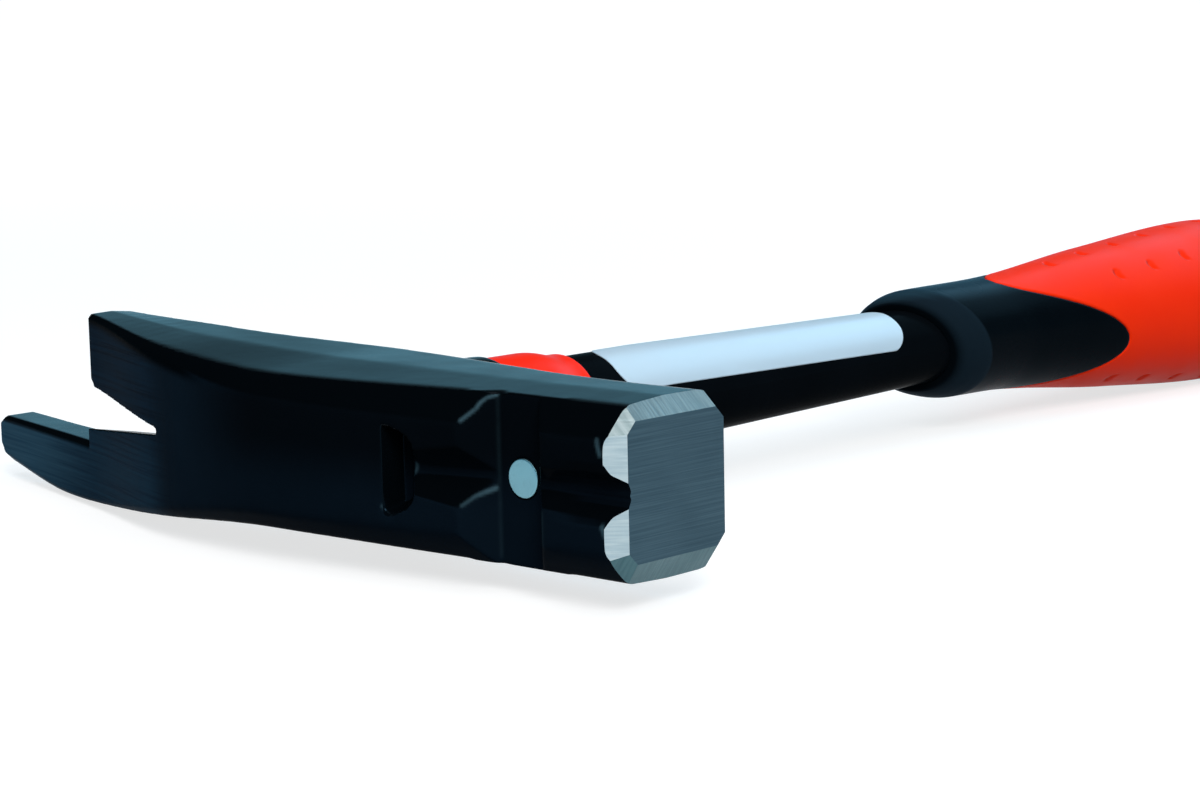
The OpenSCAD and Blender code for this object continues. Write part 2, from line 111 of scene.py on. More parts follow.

# Heights where the lacquer's painted reflection below turns to painted shade above, places along the
# head where the tone of the lacquer changes, and half the width of the notch
CROWN_FADE = (-6.0, 4.0)
CLAW_FADE = (-7.0, 1.0)
CROWN_FROM = -75.0
CLAW_FROM = -102.0
CLAW_BLEND = -112.0
SPIKE_FROM = -136.0
SPIKE_END = -172.0
NOTCH_FROM = -106.0
NOTCH_HALF = 5.5

# How far a bevel looks upwards, as a share, where its painted reflection changes to that of the corner,
# of the upper bevel and of the lower one
BEVEL_CORNER = (0.25, 0.35)
BEVEL_ABOVE = (0.64, 0.66)
BEVEL_UNDER = (-0.25, -0.35)

# Upper edge of the crown in the handle's frame, and the fade of the painted black shade band along it
CROWN_EDGE = ((-117, 13.6), (-86, 16.9), (-71, 16.7), (-43, 13.6), (-25, 11.3), (-8, 9.5))
EDGE_SHADE_BAND = (0.3, 2.0)
EDGE_SHADE_END = (-30.0, -20.0)

# Root of the spike and the fade of the painted black shade band along its inner edge
SPIKE_ROOT = -73.4
SPIKE_SHADE_BAND = (-8.0, -7.2)

# Thick paint on edges of the nail holder, which rounds them and carries a painted highlight: strength,
# and points of a line in the handle's frame
PAINT_BEADS_AND_HIGHLIGHTS = (
    (0.6, ((35.1, -13.7, 8.8), (36.6, -11.9, 10.5), (36.9, -11.1, 11.5),
           (37.5, -10.4, 12.2), (38.6, -9.3, 12.6))),
    (0.45, ((35.0, -13.8, -4.4), (36.2, -12.2, -3.1), (38.4, -9.6, -2.0))),
    (0.45, ((19.3, -15.9, -6.0), (20.8, -15.8, -7.0))),
    (0.3, ((24.3, -13.0, 0.8), (23.5, -12.2, -1.2))),
    (0.4, ((63.0, -13.4, 8.4), (63.8, -13.5, 6.2))),
    (0.4, ((63.8, -13.5, -4.4), (64.4, -13.5, -5.8))),
    (0.04, ((38.8, -9.1, -12.5), (38.8, -9.1, 12.5))),
    (0.08, ((51.6, -13.5, -12.0), (51.6, -13.5, -4.0))),
)

# Reach of the painted highlight on the thick paint, and reach and rounds of the smoothing under it
BEAD_HIGHLIGHT_REACH = 0.65
BEAD_ROUNDING = 2.4
BEAD_ROUNDS = 30

# Collar and magnet, along and round the handle
COLLAR_BORE = 9.35
COLLAR_SLEEVE = 10.35
COLLAR_R = 11.1
COLLAR_LIP = 0.6
COLLAR_FROM = -7.8
COLLAR_NECK = 27.0
COLLAR_SHOULDER = 38.1
COLLAR_RING = 42.7
COLLAR_END = 45.5
COLLAR_ROUNDS = (0.2, 2.2, 1.4, 0.3)
MAGNET_X = 43.85
MAGNET_R = 3.1
MAGNET_FACE = -9.3
MAGNET_BACK = -3.1
MAGNET_ROUND = 0.25

# Radius of the ring that closes a turned end
POINT_R = 0.01

# Grip: places along the handle from the head's axis
GRIP_START = 147.5
NOSE_END = 155.0
SWELL_Y = 172.0
SLOPE_END = 185.0
BELLY_Y = 258.0
WAIST_Y = 287.0
GRIP_END = 312.0
BUTT_ROUND = 5.0
BUTT_Y = GRIP_END - BUTT_ROUND

# Grip: radii, how much fuller the swell is than a straight cone, the oval of the belly and its shift,
# and how far the skin lies inside these radii
RIM_R = 9.4
RING_R = 11.75
SWELL_R = 11.95
SWELL_FULL = 0.6
BELLY_R = 18.2
WAIST_R = 16.5
BUTT_R = 18.0
TUBE_HOLE_R = 7.95
SLEEVE_END_R = 10.3
GRIP_OVAL = 0.06
BELLY_SHIFT = 1.8
SKIN_INSET = 0.06

# Round nose behind the rim: distance from the front, and share of the rise to the ring
NOSE_CURVE = ((1.5, 0.34), (3.75, 0.7))

# Round of the butt: shares of its rounding along the handle and inwards
BUTT_CURVE = ((0.0, 0.0), (0.5, 0.13), (0.87, 0.5), (1.0, 1.0))

# Turn of the grip round the tube, and slope and turn of its slanted front
GRIP_TURN = math.radians(14)
FRONT_SLOPE = 0.65
FRONT_TURN = math.radians(18)

# Black tongues: reach, length and the rounding between them
TONGUE_REACH = 59.0
TONGUE_LENGTH = 51.0
VALLEY_ROUND = 6.0

# Looks of the carrier: radii over which painted shade at the tube gives way to the nose band's grey,
# half the blur of its edge, and how far a surface looks upwards, as a share, where a painted sheen
# starts to make it pale and makes it pale
NOSE_ROOT_SHADE = (8.8, 10.4)
NOSE_BLUR = 0.4
CARRIER_TOP_SHEEN = (0.72, 1.0)

# Columns of the grip's mesh round the tube, and its rows along the nose, the tongues,
# the shell and the butt
GRIP_COLUMNS = 288
NOSE_ROWS = 24
TONGUE_ROWS = 72
SHELL_ROWS = 320
BUTT_ROWS = 16

# Rolled edge of the seam between the two parts of the grip: distance from the seam and depth,
# the most that the distance is stretched where the seam runs along the handle,
# and the halvings that find the seam
SEAM_ROLL = ((0.6, 0.0), (0.38, 0.03), (0.2, 0.1), (0.08, 0.25), (0.03, 0.6), (0.03, 1.5))
SEAM_STRETCH = 8.0
SEAM_HALVINGS = 50

# Rim of the carrier at the tube: radius of each ring and its distance from the front,
# and the width of the rim's broken edge
CARRIER_RIM = ((TUBE_HOLE_R, 3.0), (TUBE_HOLE_R, 0.0), (TUBE_HOLE_R + 0.1, 0.0), (RIM_R - 0.4, 0.0))
RIM_BREAK = 0.12

# Ends of the carrier and the shell at the butt: radius of each ring and its distance from the end
CARRIER_END = (
    (SLEEVE_END_R, 2.0), (SLEEVE_END_R, 0.35), (SLEEVE_END_R - 0.12, 0.1),
    (SLEEVE_END_R - 0.4, 0.0), (6.0, 0.3), (POINT_R, 0.4),
)
SHELL_END = (
    (SLEEVE_END_R + 0.5, 0.0), (SLEEVE_END_R + 0.15, 0.12),
    (SLEEVE_END_R + 0.05, 0.4), (SLEEVE_END_R + 0.05, 2.0),
)

# Thumbnail marks of the soft shell: rows by angle from the tongue, with the first place of each
MARK_ROWS = (
    (59, 209.0), (-41, 209.0), (93, 195.0), (-76, 195.0), (123, 216.0), (-106, 216.0),
)

# Pitch of the marks, degrees that a row turns away in each mm, and the place past the last mark
MARK_PITCH = 12.4
MARK_CLIMB = 0.15
MARK_LAST = 274.0

# One mark: half its width, the bow of its wall, its floor and length,
# and the wall's run, the width of the painted dark line of shade along it, and depth
MARK_HALF = 1.5
MARK_SAG = 0.9
MARK_FLOOR = 0.2
MARK_LENGTH = 1.9
MARK_WALL = 0.6
MARK_LINE = 0.12
MARK_DEPTH = 0.6

# Camera: place from the handle's axis, turns in degrees, focal length in pixels of the image's width
IMAGE_WIDTH = 1200
CAMERA_EYE = (338.27, -309.97, 73.8)
CAMERA_YAW = 42.759
CAMERA_PITCH = 8.374
CAMERA_ROLL = -1.202
CAMERA_FOCAL = 2800
SENSOR = 36.0

# Floor, in m: half its width, how much wider its rim is and how far that rises, and its grey
FLOOR_REACH = 200.0
FLOOR_RIM = 1.2
FLOOR_RISE = 8.0
FLOOR_GREY = (0.4, 0.4, 0.4, 1)

# White of the floor to the camera and in reflections, near the hammer and away from it, in m
FLOOR_FADE = (0.3, 1.6)
FLOOR_GLOW = (0.72, 0.98)

# Lamps: name, place, target and size in m, power in W and colour
LAMPS = (
    ("overhead", (0.05, 0.05, 0.9), (0.05, 0.05, 0), (1.1, 1.1), 4.5, (1, 1, 1)),
    ("front", (0.75, -0.55, 0.75), (-0.03, 0.1, 0), (0.5, 0.5), 12.0, (1, 1, 1)),
    ("back", (0.0, 1.3, 0.75), (-0.05, 0.2, 0), (1.2, 0.7), 9.5, (0.34, 0.72, 1.0)),
)

# Studio round the hammer, from the horizon to the zenith: sine of the height and colour
SKY = (
    (0.0, (0.23, 0.57, 0.76, 1)),
    (0.18, (0.22, 0.55, 0.73, 1)),
    (0.26, (0.13, 0.31, 0.41, 1)),
    (0.4, (0.08, 0.16, 0.2, 1)),
    (0.64, (0.04, 0.055, 0.065, 1)),
)

# Tint of the sheen on the black pieces
BLUE_SHEEN = (0.3, 0.65, 1.0, 1.0)


def rgb(red, green, blue):
    """Linear colour of an 8-bit screen colour."""
    def linear(value):
        value /= 255
        return value / 12.92 if value <= 0.04045 else ((value + 0.055) / 1.055) ** 2.4
    return (linear(red), linear(green), linear(blue), 1.0)


# Pairs of dark and light tones of the dull lacquers: the lower tones are a painted reflection of the
# floor, the higher ones painted shade, the black is painted shade, and the spike has a lighter tone
PAINTED_SHADE_BLACK = rgb(3, 6, 9)
CROWN_HIGH_SHADED = (rgb(4, 8, 12), rgb(6, 11, 16))
CROWN_LOW_REFLECTED = (rgb(8, 17, 25), rgb(11, 21, 30))
CROWN_LEFT = (rgb(11, 22, 32), rgb(16, 29, 40))
CLAW_HIGH_SHADED = (rgb(8, 24, 37), rgb(17, 38, 54))
CLAW_LOW_REFLECTED = (rgb(16, 39, 56), rgb(26, 53, 70))
SPIKE_TONE = (rgb(36, 67, 86), rgb(54, 86, 104))


# Curves and meshes

def smooth_line(points):
    """Function of a smooth line through the points that never overshoots them."""
    xs = np.array([p[0] for p in points], float)
    ys = np.array([p[1] for p in points], float)
    span = np.diff(xs)
    chord = np.diff(ys) / span
    slope = np.empty_like(ys)
    slope[0], slope[-1] = chord[0], chord[-1]
    before, after = chord[:-1], chord[1:]
    same = before * after > 0
    slope[1:-1] = np.where(same, 2 * before * after / np.where(same, before + after, 1), 0)

    def value(x):
        x = np.asarray(x, float)
        i = np.clip(np.searchsorted(xs, x, side="right") - 1, 0, len(span) - 1)
        t = (x - xs[i]) / span[i]
        rise = ys[i + 1] - ys[i]
        return (ys[i] + rise * t * t * (3 - 2 * t)
                + span[i] * slope[i] * t * (1 - t) ** 2
                - span[i] * slope[i + 1] * t * t * (1 - t))

    return value


def new_piece(name, points, faces, materials, node):
    """Mesh object from points in mm in the handle's frame, which stands for a CAD node."""
    mesh = bpy.data.meshes.new(name)
    places = (np.asarray(points, float) + (HANDLE_X, 0, 0)) * MM
    mesh.from_pydata(places.tolist(), [], faces)
    mesh.validate()
    mesh.polygons.foreach_set("use_smooth", [True] * len(mesh.polygons))
    return place_piece(name, mesh, materials, node)


def place_piece(name, mesh, materials, node):
    """Object of a finished mesh, riding on the body of the hammer."""
    for material in materials:
        mesh.materials.append(material)
    piece = bpy.data.objects.new(name, mesh)
    bpy.context.scene.collection.objects.link(piece)
    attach(piece, "root")
    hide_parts(node)
    return piece


def ring_faces(rings, columns, first=0):
    """Quads between closed rings of equal count."""
    faces = []
    for k in range(rings - 1):
        low = first + k * columns
        for i in range(columns):
            j = (i + 1) % columns
            faces.append((low + i, low + columns + i, low + columns + j, low + j))
    return faces


def rounded_path(corners, steps=6):
    """Path through (radius, place, rounding) corners, each rounded by the given length."""
    path = []
    last = len(corners) - 1
    for i, (r, y, rounding) in enumerate(corners):
        here = np.array((r, y))
        if i in (0, last) or rounding == 0:
            path.append(here)
            continue
        back = np.array(corners[i - 1][:2]) - here
        ahead = np.array(corners[i + 1][:2]) - here
        start = here + back / np.linalg.norm(back) * rounding
        end = here + ahead / np.linalg.norm(ahead) * rounding
        for t in np.linspace(0, 1, steps + 1):
            path.append((1 - t) ** 2 * start + 2 * t * (1 - t) * here + t * t * end)
    return np.array(path)


def turned(path, columns=128, centre_x=0.0):
    """Points and faces of a path of radii and places turned round a line along the handle."""
    angles = np.linspace(0, 2 * math.pi, columns, endpoint=False)
    rings = np.empty((len(path), columns, 3))
    rings[:, :, 0] = path[:, 0, None] * np.cos(angles) + centre_x
    rings[:, :, 1] = path[:, 1, None]
    rings[:, :, 2] = path[:, 0, None] * np.sin(angles)
    return rings.reshape(-1, 3), ring_faces(len(path), columns)


# Materials

class Finish:
    """Procedural material with its nodes added one by one."""

    def __init__(self, name):
        self.material = bpy.data.materials.new(name)
        self.material.use_nodes = True
        self.tree = self.material.node_tree
        self.tree.nodes.clear()
        output = self.add("ShaderNodeOutputMaterial")
        self.shader = self.add("ShaderNodeBsdfPrincipled")
        self.tree.links.new(self.shader.outputs[0], output.inputs["Surface"])
        self.place = self.add("ShaderNodeTexCoord").outputs["Object"]

    def add(self, kind, inputs=None, **settings):
        """New node with its inputs fed and its settings made."""
        node = self.tree.nodes.new(kind)
        for key, value in settings.items():
            setattr(node, key, value)
        for key, value in (inputs or {}).items():
            self.feed(node.inputs[key], value)
        return node

    def feed(self, socket, value):
        """Links an output to a socket, or sets the socket to a constant."""
        if isinstance(value, bpy.types.NodeSocket):
            self.tree.links.new(value, socket)
        else:
            socket.default_value = value

    def set(self, **values):
        """Feeds sockets of the shader, named with underscores for spaces."""
        for key, value in values.items():
            self.feed(self.shader.inputs[key.replace("_", " ")], value)

    def math(self, operation, a, b=0.0):
        """Result of an operation on two numbers."""
        return self.add("ShaderNodeMath", {0: a, 1: b}, operation=operation).outputs[0]

    def vector(self, operation, a, b=(0, 0, 0), output="Vector"):
        """Result of an operation on two vectors."""
        return self.add("ShaderNodeVectorMath", {0: a, 1: b}, operation=operation).outputs[output]

    def attribute(self, name):
        """Number stored with the mesh."""
        return self.add("ShaderNodeAttribute", attribute_name=name).outputs["Fac"]

    def axis(self, name):
        """Place along an axis of the part."""
        return self.add("ShaderNodeSeparateXYZ", {0: self.place}).outputs[name]

    def upward(self):
        """How far the surface looks upwards."""
        normal = self.add("ShaderNodeNewGeometry").outputs["Normal"]
        return self.add("ShaderNodeSeparateXYZ", {0: normal}).outputs["Z"]

    def stretched(self, x, y, z):
        """Place scaled along each axis."""
        return self.add("ShaderNodeMapping", {"Vector": self.place, "Scale": (x, y, z)}).outputs[0]

    def noise(self, scale, detail=3.0, vector=None):
        """Noise over the part, or over another vector."""
        node = self.add("ShaderNodeTexNoise", {"Scale": scale, "Detail": detail})
        self.feed(node.inputs["Vector"], self.place if vector is None else vector)
        return node.outputs["Fac"]

    def span(self, value, low, high, out_low=0.0, out_high=1.0):
        """Value mapped from low..high to out_low..out_high, held at the ends."""
        inputs = {
            "Value": value, "From Min": low, "From Max": high, "To Min": out_low, "To Max": out_high,
        }
        return self.add("ShaderNodeMapRange", inputs, interpolation_type="SMOOTHSTEP").outputs[0]

    def mix(self, share, a, b):
        """Colour between a and b."""
        node = self.add("ShaderNodeMix", data_type="RGBA")
        for socket, value in zip((node.inputs[0], node.inputs[6], node.inputs[7]), (share, a, b)):
            self.feed(socket, value)
        return node.outputs[2]

    def blend(self, share, a, b):
        """Number between a and b."""
        node = self.add("ShaderNodeMix", data_type="FLOAT")
        for socket, value in zip((node.inputs[0], node.inputs[2], node.inputs[3]), (share, a, b)):
            self.feed(socket, value)
        return node.outputs[0]

    def bump(self, height, distance, strength=1.0, under=None):
        """Normal bent by a height, on top of another normal."""
        node = self.add("ShaderNodeBump", {"Height": height, "Distance": distance, "Strength": strength})
        if under is not None:
            self.feed(node.inputs["Normal"], under)
        return node.outputs[0]


def lacquer(name, dark, light):
    """Black baked lacquer over the forging, with the relief of the forged skin."""
    finish = Finish(name)
    blotch = finish.noise(90, 4)
    finish.set(Base_Color=finish.mix(blotch, dark, light))
    finish.set(Roughness=finish.span(blotch, 0.3, 0.7, 0.16, 0.22))
    relief = finish.bump(finish.noise(160, 2), 0.0001, 0.3)
    finish.set(Normal=finish.bump(finish.noise(900, 2), 0.00002, 0.2, relief))
    return finish, blotch, relief


def side_lacquer_finish():
    """Glossy lacquer of the cheeks and the back."""
    finish, _, _ = lacquer("side_lacquer_look", rgb(2, 5, 8), rgb(4, 8, 12))
    finish.set(Specular_IOR_Level=0.062, Specular_Tint=BLUE_SHEEN)
    return finish.material


def painted_light_by_height(finish, share, fade, low_shades, high_shades):
    """Colour of painted light that changes with the height, over a fade: painted reflection below,
    painted shade above.
    """
    way = finish.span(finish.axis("Z"), *(height * MM for height in fade))
    return finish.mix(way, finish.mix(share, *low_shades), finish.mix(share, *high_shades))


def crown_tone(finish, blotch):
    """Colour of the crown, lighter below from painted reflection, and lighter next to the claw."""
    tone = painted_light_by_height(finish, blotch, CROWN_FADE, CROWN_LOW_REFLECTED, CROWN_HIGH_SHADED)
    left = finish.span(finish.axis("X"), CROWN_FROM * MM, CLAW_FROM * MM)
    return finish.mix(left, tone, finish.mix(blotch, *CROWN_LEFT))


def with_painted_black_shade(finish, tone):
    """Tone that turns to painted black shade along the shade bands and where the surface looks upwards.
    """
    black = finish.math("MAXIMUM", finish.attribute("edge"), finish.span(finish.upward(), *UPWARD_SHADE))
    return finish.mix(black, tone, PAINTED_SHADE_BLACK)


def crown_lacquer_finish():
    """Dull lacquer of the crown, with painted reflection and shade, and painted highlights on the beads
    of thick paint along the nail holder's edges.
    """
    finish, blotch, _ = lacquer("crown_lacquer_look", *CROWN_LOW_REFLECTED)
    finish.set(Specular_IOR_Level=0.001, Specular_Tint=BLUE_SHEEN)
    broken = finish.span(finish.noise(300, 1), 0.2, 0.5, 0.6, 1.0)
    bead_and_highlight = finish.math("MULTIPLY", finish.attribute("bead_and_highlight"), broken)
    tone = with_painted_black_shade(finish, crown_tone(finish, blotch))
    # Painted highlight where the beads of thick paint catch the light.
    finish.set(Base_Color=finish.mix(bead_and_highlight, tone, rgb(82, 112, 124)))
    return finish.material


def claw_lacquer_finish():
    """Thin lacquer of the claw, over lines ground along it."""
    finish, blotch, relief = lacquer("claw_lacquer_look", *CLAW_LOW_REFLECTED)
    finish.set(Specular_IOR_Level=0.001, Specular_Tint=BLUE_SHEEN)
    lines = finish.noise(1.0, 2, finish.stretched(30, 30, 1500))
    streak = finish.span(lines, 0.25, 0.75)
    # Painted reflection makes the ground claw lighter below, and painted shade makes it darker above.
    ground = painted_light_by_height(finish, streak, CLAW_FADE, CLAW_LOW_REFLECTED, CLAW_HIGH_SHADED)
    spike = finish.span(finish.axis("X"), SPIKE_FROM * MM, SPIKE_END * MM)
    ground = finish.mix(spike, ground, finish.mix(streak, *SPIKE_TONE))
    share = finish.span(finish.axis("X"), CLAW_FROM * MM, CLAW_BLEND * MM)
    tone = finish.mix(share, crown_tone(finish, blotch), ground)
    finish.set(Base_Color=with_painted_black_shade(finish, tone))
    finish.set(Roughness=finish.span(lines, 0.3, 0.7, 0.26, 0.34))
    finish.set(Normal=finish.bump(lines, 0.00002, 0.3, relief))
    return finish.material


def ground_steel(name, dark, light, rough):
    """Ground steel with lines along the handle."""
    finish = Finish(name)
    lines = finish.noise(1.0, 3, finish.stretched(500, 45, 4200))
    cloud = finish.noise(120, 3)
    finish.set(Metallic=1.0)
    finish.set(Base_Color=finish.mix(finish.span(lines, 0.25, 0.75), dark, light))
    finish.set(Roughness=finish.span(cloud, 0.3, 0.7, rough - 0.05, rough + 0.05))
    finish.set(Normal=finish.bump(lines, 0.00004, 0.5))
    return finish.material


def face_steel_finish():
    """Dull ground steel of the striking face."""
    return ground_steel("face_steel_look", (0.032, 0.066, 0.09, 1), (0.05, 0.094, 0.122, 1), 0.36)


def bevel_steel_finish():
    """Ground steel of the bevel, with painted reflection: bright at the crown side, darker at the
    corner, above and below.
    """
    finish = Finish("bevel_steel_look")
    upright = finish.span(finish.noise(1.0, 3, finish.stretched(150, 150, 2400)), 0.3, 0.7)
    level = finish.span(finish.noise(1.0, 3, finish.stretched(150, 2400, 150)), 0.3, 0.7)
    front = finish.mix(upright, (0.36, 0.45, 0.49, 1), (0.47, 0.55, 0.57, 1))
    corner = finish.mix(level, (0.18, 0.235, 0.245, 1), (0.25, 0.305, 0.315, 1))
    above = finish.mix(level, (0.18, 0.17, 0.155, 1), (0.27, 0.24, 0.21, 1))
    under = finish.mix(level, (0.055, 0.115, 0.135, 1), (0.072, 0.145, 0.165, 1))
    # Painted reflection: the bevel's tone changes with the way it faces.
    tone = finish.mix(finish.span(finish.upward(), *BEVEL_CORNER), front, corner)
    tone = finish.mix(finish.span(finish.upward(), *BEVEL_ABOVE), tone, above)
    tone = finish.mix(finish.span(finish.upward(), *BEVEL_UNDER), tone, under)
    finish.set(Metallic=1.0)
    finish.set(Base_Color=tone)
    finish.set(Roughness=finish.span(finish.noise(120, 3), 0.3, 0.7, 0.36, 0.46))
    finish.set(Normal=finish.bump(finish.math("ADD", upright, level), 0.00002, 0.4))
    return finish.material


def magnet_finish():
    """Nickel-plated magnet."""
    finish = Finish("magnet_look")
    cloud = finish.noise(400, 4)
    finish.set(Metallic=1.0)
    finish.set(Base_Color=finish.mix(cloud, (0.15, 0.34, 0.41, 1), (0.22, 0.42, 0.49, 1)))
    finish.set(Roughness=finish.span(cloud, 0.3, 0.7, 0.3, 0.42))
    finish.set(Normal=finish.bump(finish.noise(1500, 3), 0.00002, 0.4))
    return finish.material


def tube_finish():
    """Gloss black lacquer of the tube."""
    finish = Finish("tube_look")
    blotch = finish.noise(70, 3)
    draw = finish.noise(1.0, 3, finish.stretched(900, 30, 900))
    finish.set(Base_Color=finish.mix(blotch, rgb(5, 8, 11), rgb(9, 13, 17)))
    finish.set(Specular_IOR_Level=0.001, Specular_Tint=BLUE_SHEEN)
    finish.set(Roughness=finish.span(blotch, 0.3, 0.7, 0.2, 0.28))
    finish.set(Normal=finish.bump(draw, 0.00002, 0.35))
    return finish.material


def plastic_finish(name, dark, light, rough, grain):
    """Moulded plastic with a fine grain, and the clouds of its colour."""
    finish = Finish(name)
    cloud = finish.noise(110, 3)
    body = finish.mix(cloud, dark, light)
    finish.set(Base_Color=body)
    finish.set(Roughness=finish.span(cloud, 0.3, 0.7, rough - 0.05, rough + 0.05))
    finish.set(Normal=finish.bump(finish.noise(grain, 2), 0.00003, 0.4))
    finish.set(Specular_IOR_Level=0.025)
    return finish, body, cloud


def carrier_finish():
    """Hard black front of the grip, made paler on top by a painted sheen, with a matte grey nose band
    that painted shade makes black at the tube.
    """
    dark, light = rgb(3, 6, 9), rgb(5, 9, 13)
    finish, body, cloud = plastic_finish("carrier_look", dark, light, 0.3, 2200)
    finish.set(Specular_IOR_Level=0.007, Specular_Tint=BLUE_SHEEN)
    finish.set(Sheen_Weight=0.06, Sheen_Roughness=0.35, Sheen_Tint=BLUE_SHEEN)
    turn = GRIP_TURN + FRONT_TURN
    way = (-FRONT_SLOPE * math.cos(turn), 1, FRONT_SLOPE * math.sin(turn))
    along = finish.vector("DOT_PRODUCT", finish.place, way, "Value")
    edge = NOSE_END - FRONT_SLOPE * math.cos(turn) * HANDLE_X
    nose = finish.span(along, (edge + NOSE_BLUR) * MM, (edge - NOSE_BLUR) * MM)
    offset = finish.vector("ADD", finish.place, (-HANDLE_X * MM, 0, 0))
    radius = finish.vector("LENGTH", finish.vector("MULTIPLY", offset, (1, 0, 1)), output="Value")
    # Painted shade: the nose band is black next to the tube.
    ring = finish.mix(finish.span(radius, *(r * MM for r in NOSE_ROOT_SHADE)), dark, rgb(19, 30, 38))
    # Painted sheen: the carrier is paler where it looks upwards.
    top = finish.span(finish.upward(), *CARRIER_TOP_SHEEN)
    finish.set(Base_Color=finish.mix(top, finish.mix(nose, body, ring), rgb(30, 52, 63)))
    finish.set(Roughness=finish.blend(nose, finish.span(cloud, 0.3, 0.7, 0.24, 0.32), 0.5))
    return finish.material


def shell_finish():
    """Soft orange-red shell; the walls of the thumbnail marks take painted shade."""
    finish, body, _ = plastic_finish("shell_look", rgb(250, 42, 8), rgb(255, 50, 12), 0.42, 2600)
    # The mark attribute holds painted shade along the marks' walls.
    finish.set(Base_Color=finish.mix(finish.attribute("mark"), body, rgb(176, 14, 4)))
    return finish.material


def label_finish():
    """Bare glossy film, faintly blue."""
    finish = Finish("label_look")
    cloud = finish.noise(60, 3)
    finish.set(Base_Color=finish.mix(cloud, rgb(184, 199, 210), rgb(188, 203, 214)))
    finish.set(Roughness=finish.span(cloud, 0.3, 0.7, 0.36, 0.4))
    finish.set(Normal=finish.bump(finish.noise(900, 2), 0.00001, 0.2))
    return finish.material


# Head

def relaxed(points, edges, weight, rounds):
    """Points drawn towards the mean of their neighbours, by a weight for each point."""
    count = len(points)
    a, b = edges[:, 0], edges[:, 1]
    degree = np.bincount(a, minlength=count) + np.bincount(b, minlength=count)
    for _ in range(rounds):
        mean = np.empty_like(points)
        for axis in range(3):
            total = np.bincount(a, points[b, axis], count) + np.bincount(b, points[a, axis], count)
            mean[:, axis] = total / degree
        points = points + weight[:, None] * 0.5 * (mean - points)
    return points


def smooth_step(x, low, high):
    """Share that rises smoothly from 0 at low to 1 at high."""
    t = np.clip((x - low) / (high - low), 0, 1)
    return t * t * (3 - 2 * t)


def cut_edges(solid, middle, normal, gap):
    """Cuts off what lies beyond a plane, and gives the edges of the cut."""
    parts = solid.verts[:] + solid.edges[:] + solid.faces[:]
    cut = bmesh.ops.bisect_plane(
        solid, geom=parts, dist=gap, plane_co=middle, plane_no=normal, clear_outer=True)
    return [part for part in cut["geom_cut"] if isinstance(part, bmesh.types.BMEdge)]


def head_blank():
    """Closed mesh of the CAD head whose striking end runs on past the face."""
    blank = bmesh.new()
    blank.from_mesh(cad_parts["head"].data)
    bmesh.ops.remove_doubles(blank, verts=blank.verts, dist=WELD_GAP)
    rim = cut_edges(blank, Vector((-FACE_CUT * MM, 0, 0)), Vector((1, 0, 0)), WELD_GAP)
    grown = bmesh.ops.extrude_edge_only(blank, edges=rim)["geom"]
    for vert in (part for part in grown if isinstance(part, bmesh.types.BMVert)):
        vert.co.x = FACE_OVER * MM
    bmesh.ops.holes_fill(blank, edges=[edge for edge in blank.edges if edge.is_boundary])
    bmesh.ops.recalc_face_normals(blank, faces=blank.faces)
    mesh = bpy.data.meshes.new("head_blank")
    blank.to_mesh(mesh)
    blank.free()
    return mesh


def even_mesh(mesh, depth):
    """Even mesh over a closed one."""
    holder = bpy.data.objects.new("even_holder", mesh)
    bpy.context.scene.collection.objects.link(holder)
    remesh = holder.modifiers.new("even", "REMESH")
    remesh.mode = "SHARP"
    remesh.octree_depth = depth
    remesh.scale = 0.99
    remesh.use_remove_disconnected = False
    graph = bpy.context.evaluated_depsgraph_get()
    even = bpy.data.meshes.new_from_object(holder.evaluated_get(graph))
    bpy.data.objects.remove(holder)
    return even


def mesh_points(mesh):
    """Places of a mesh's points, in m."""
    points = np.empty(len(mesh.vertices) * 3)
    mesh.vertices.foreach_get("co", points)
    return points.reshape(-1, 3)


def soften_head(mesh):
    """Rounds the edges of the forging, the long corners more than the claw and the nail holder."""
    points = mesh_points(mesh)
    edges = np.empty(len(mesh.edges) * 2, int)
    mesh.edges.foreach_get("vertices", edges)
    edges = edges.reshape(-1, 2)
    points = relaxed(points, edges, np.ones(len(points)), EDGE_ROUNDS)
    x, y, z = points.T / MM
    cheek = smooth_step(x, *BODY_FADE) * smooth_step(np.abs(z), *CHEEK_FADE)
    seat = smooth_step(x, *SEAT_START) * (1 - smooth_step(x, *SEAT_END))
    seat *= 1 - smooth_step(y, *SEAT_HEIGHT)
    points = relaxed(points, edges, cheek * (1 - seat), CORNER_ROUNDS)
    bead_and_highlight = np.minimum(1, 2 * bead_and_highlight_strength(points, BEAD_ROUNDING))
    points = relaxed(points, edges, bead_and_highlight, BEAD_ROUNDS)
    mesh.vertices.foreach_set("co", points.ravel())


def shape_end(mesh):
    """Lowers the under cheek and opens the nail groove towards the face."""
    points = mesh_points(mesh)
    x, y, z = points.T / MM
    drop = smooth_step(x, *UNDER_ALONG) * smooth_step(-z, *UNDER_BELOW)
    drop *= 1 - smooth_step(y, *UNDER_NECK)
    flare = np.interp(np.abs(z), FLARE_ACROSS, FLARE_DEPTH)
    flare *= smooth_step(x, *FLARE_ALONG) * (y < FLARE_FRONT)
    points[:, 2] -= UNDER_DROP * MM * drop
    points[:, 1] += MM * flare
    mesh.vertices.foreach_set("co", points.ravel())


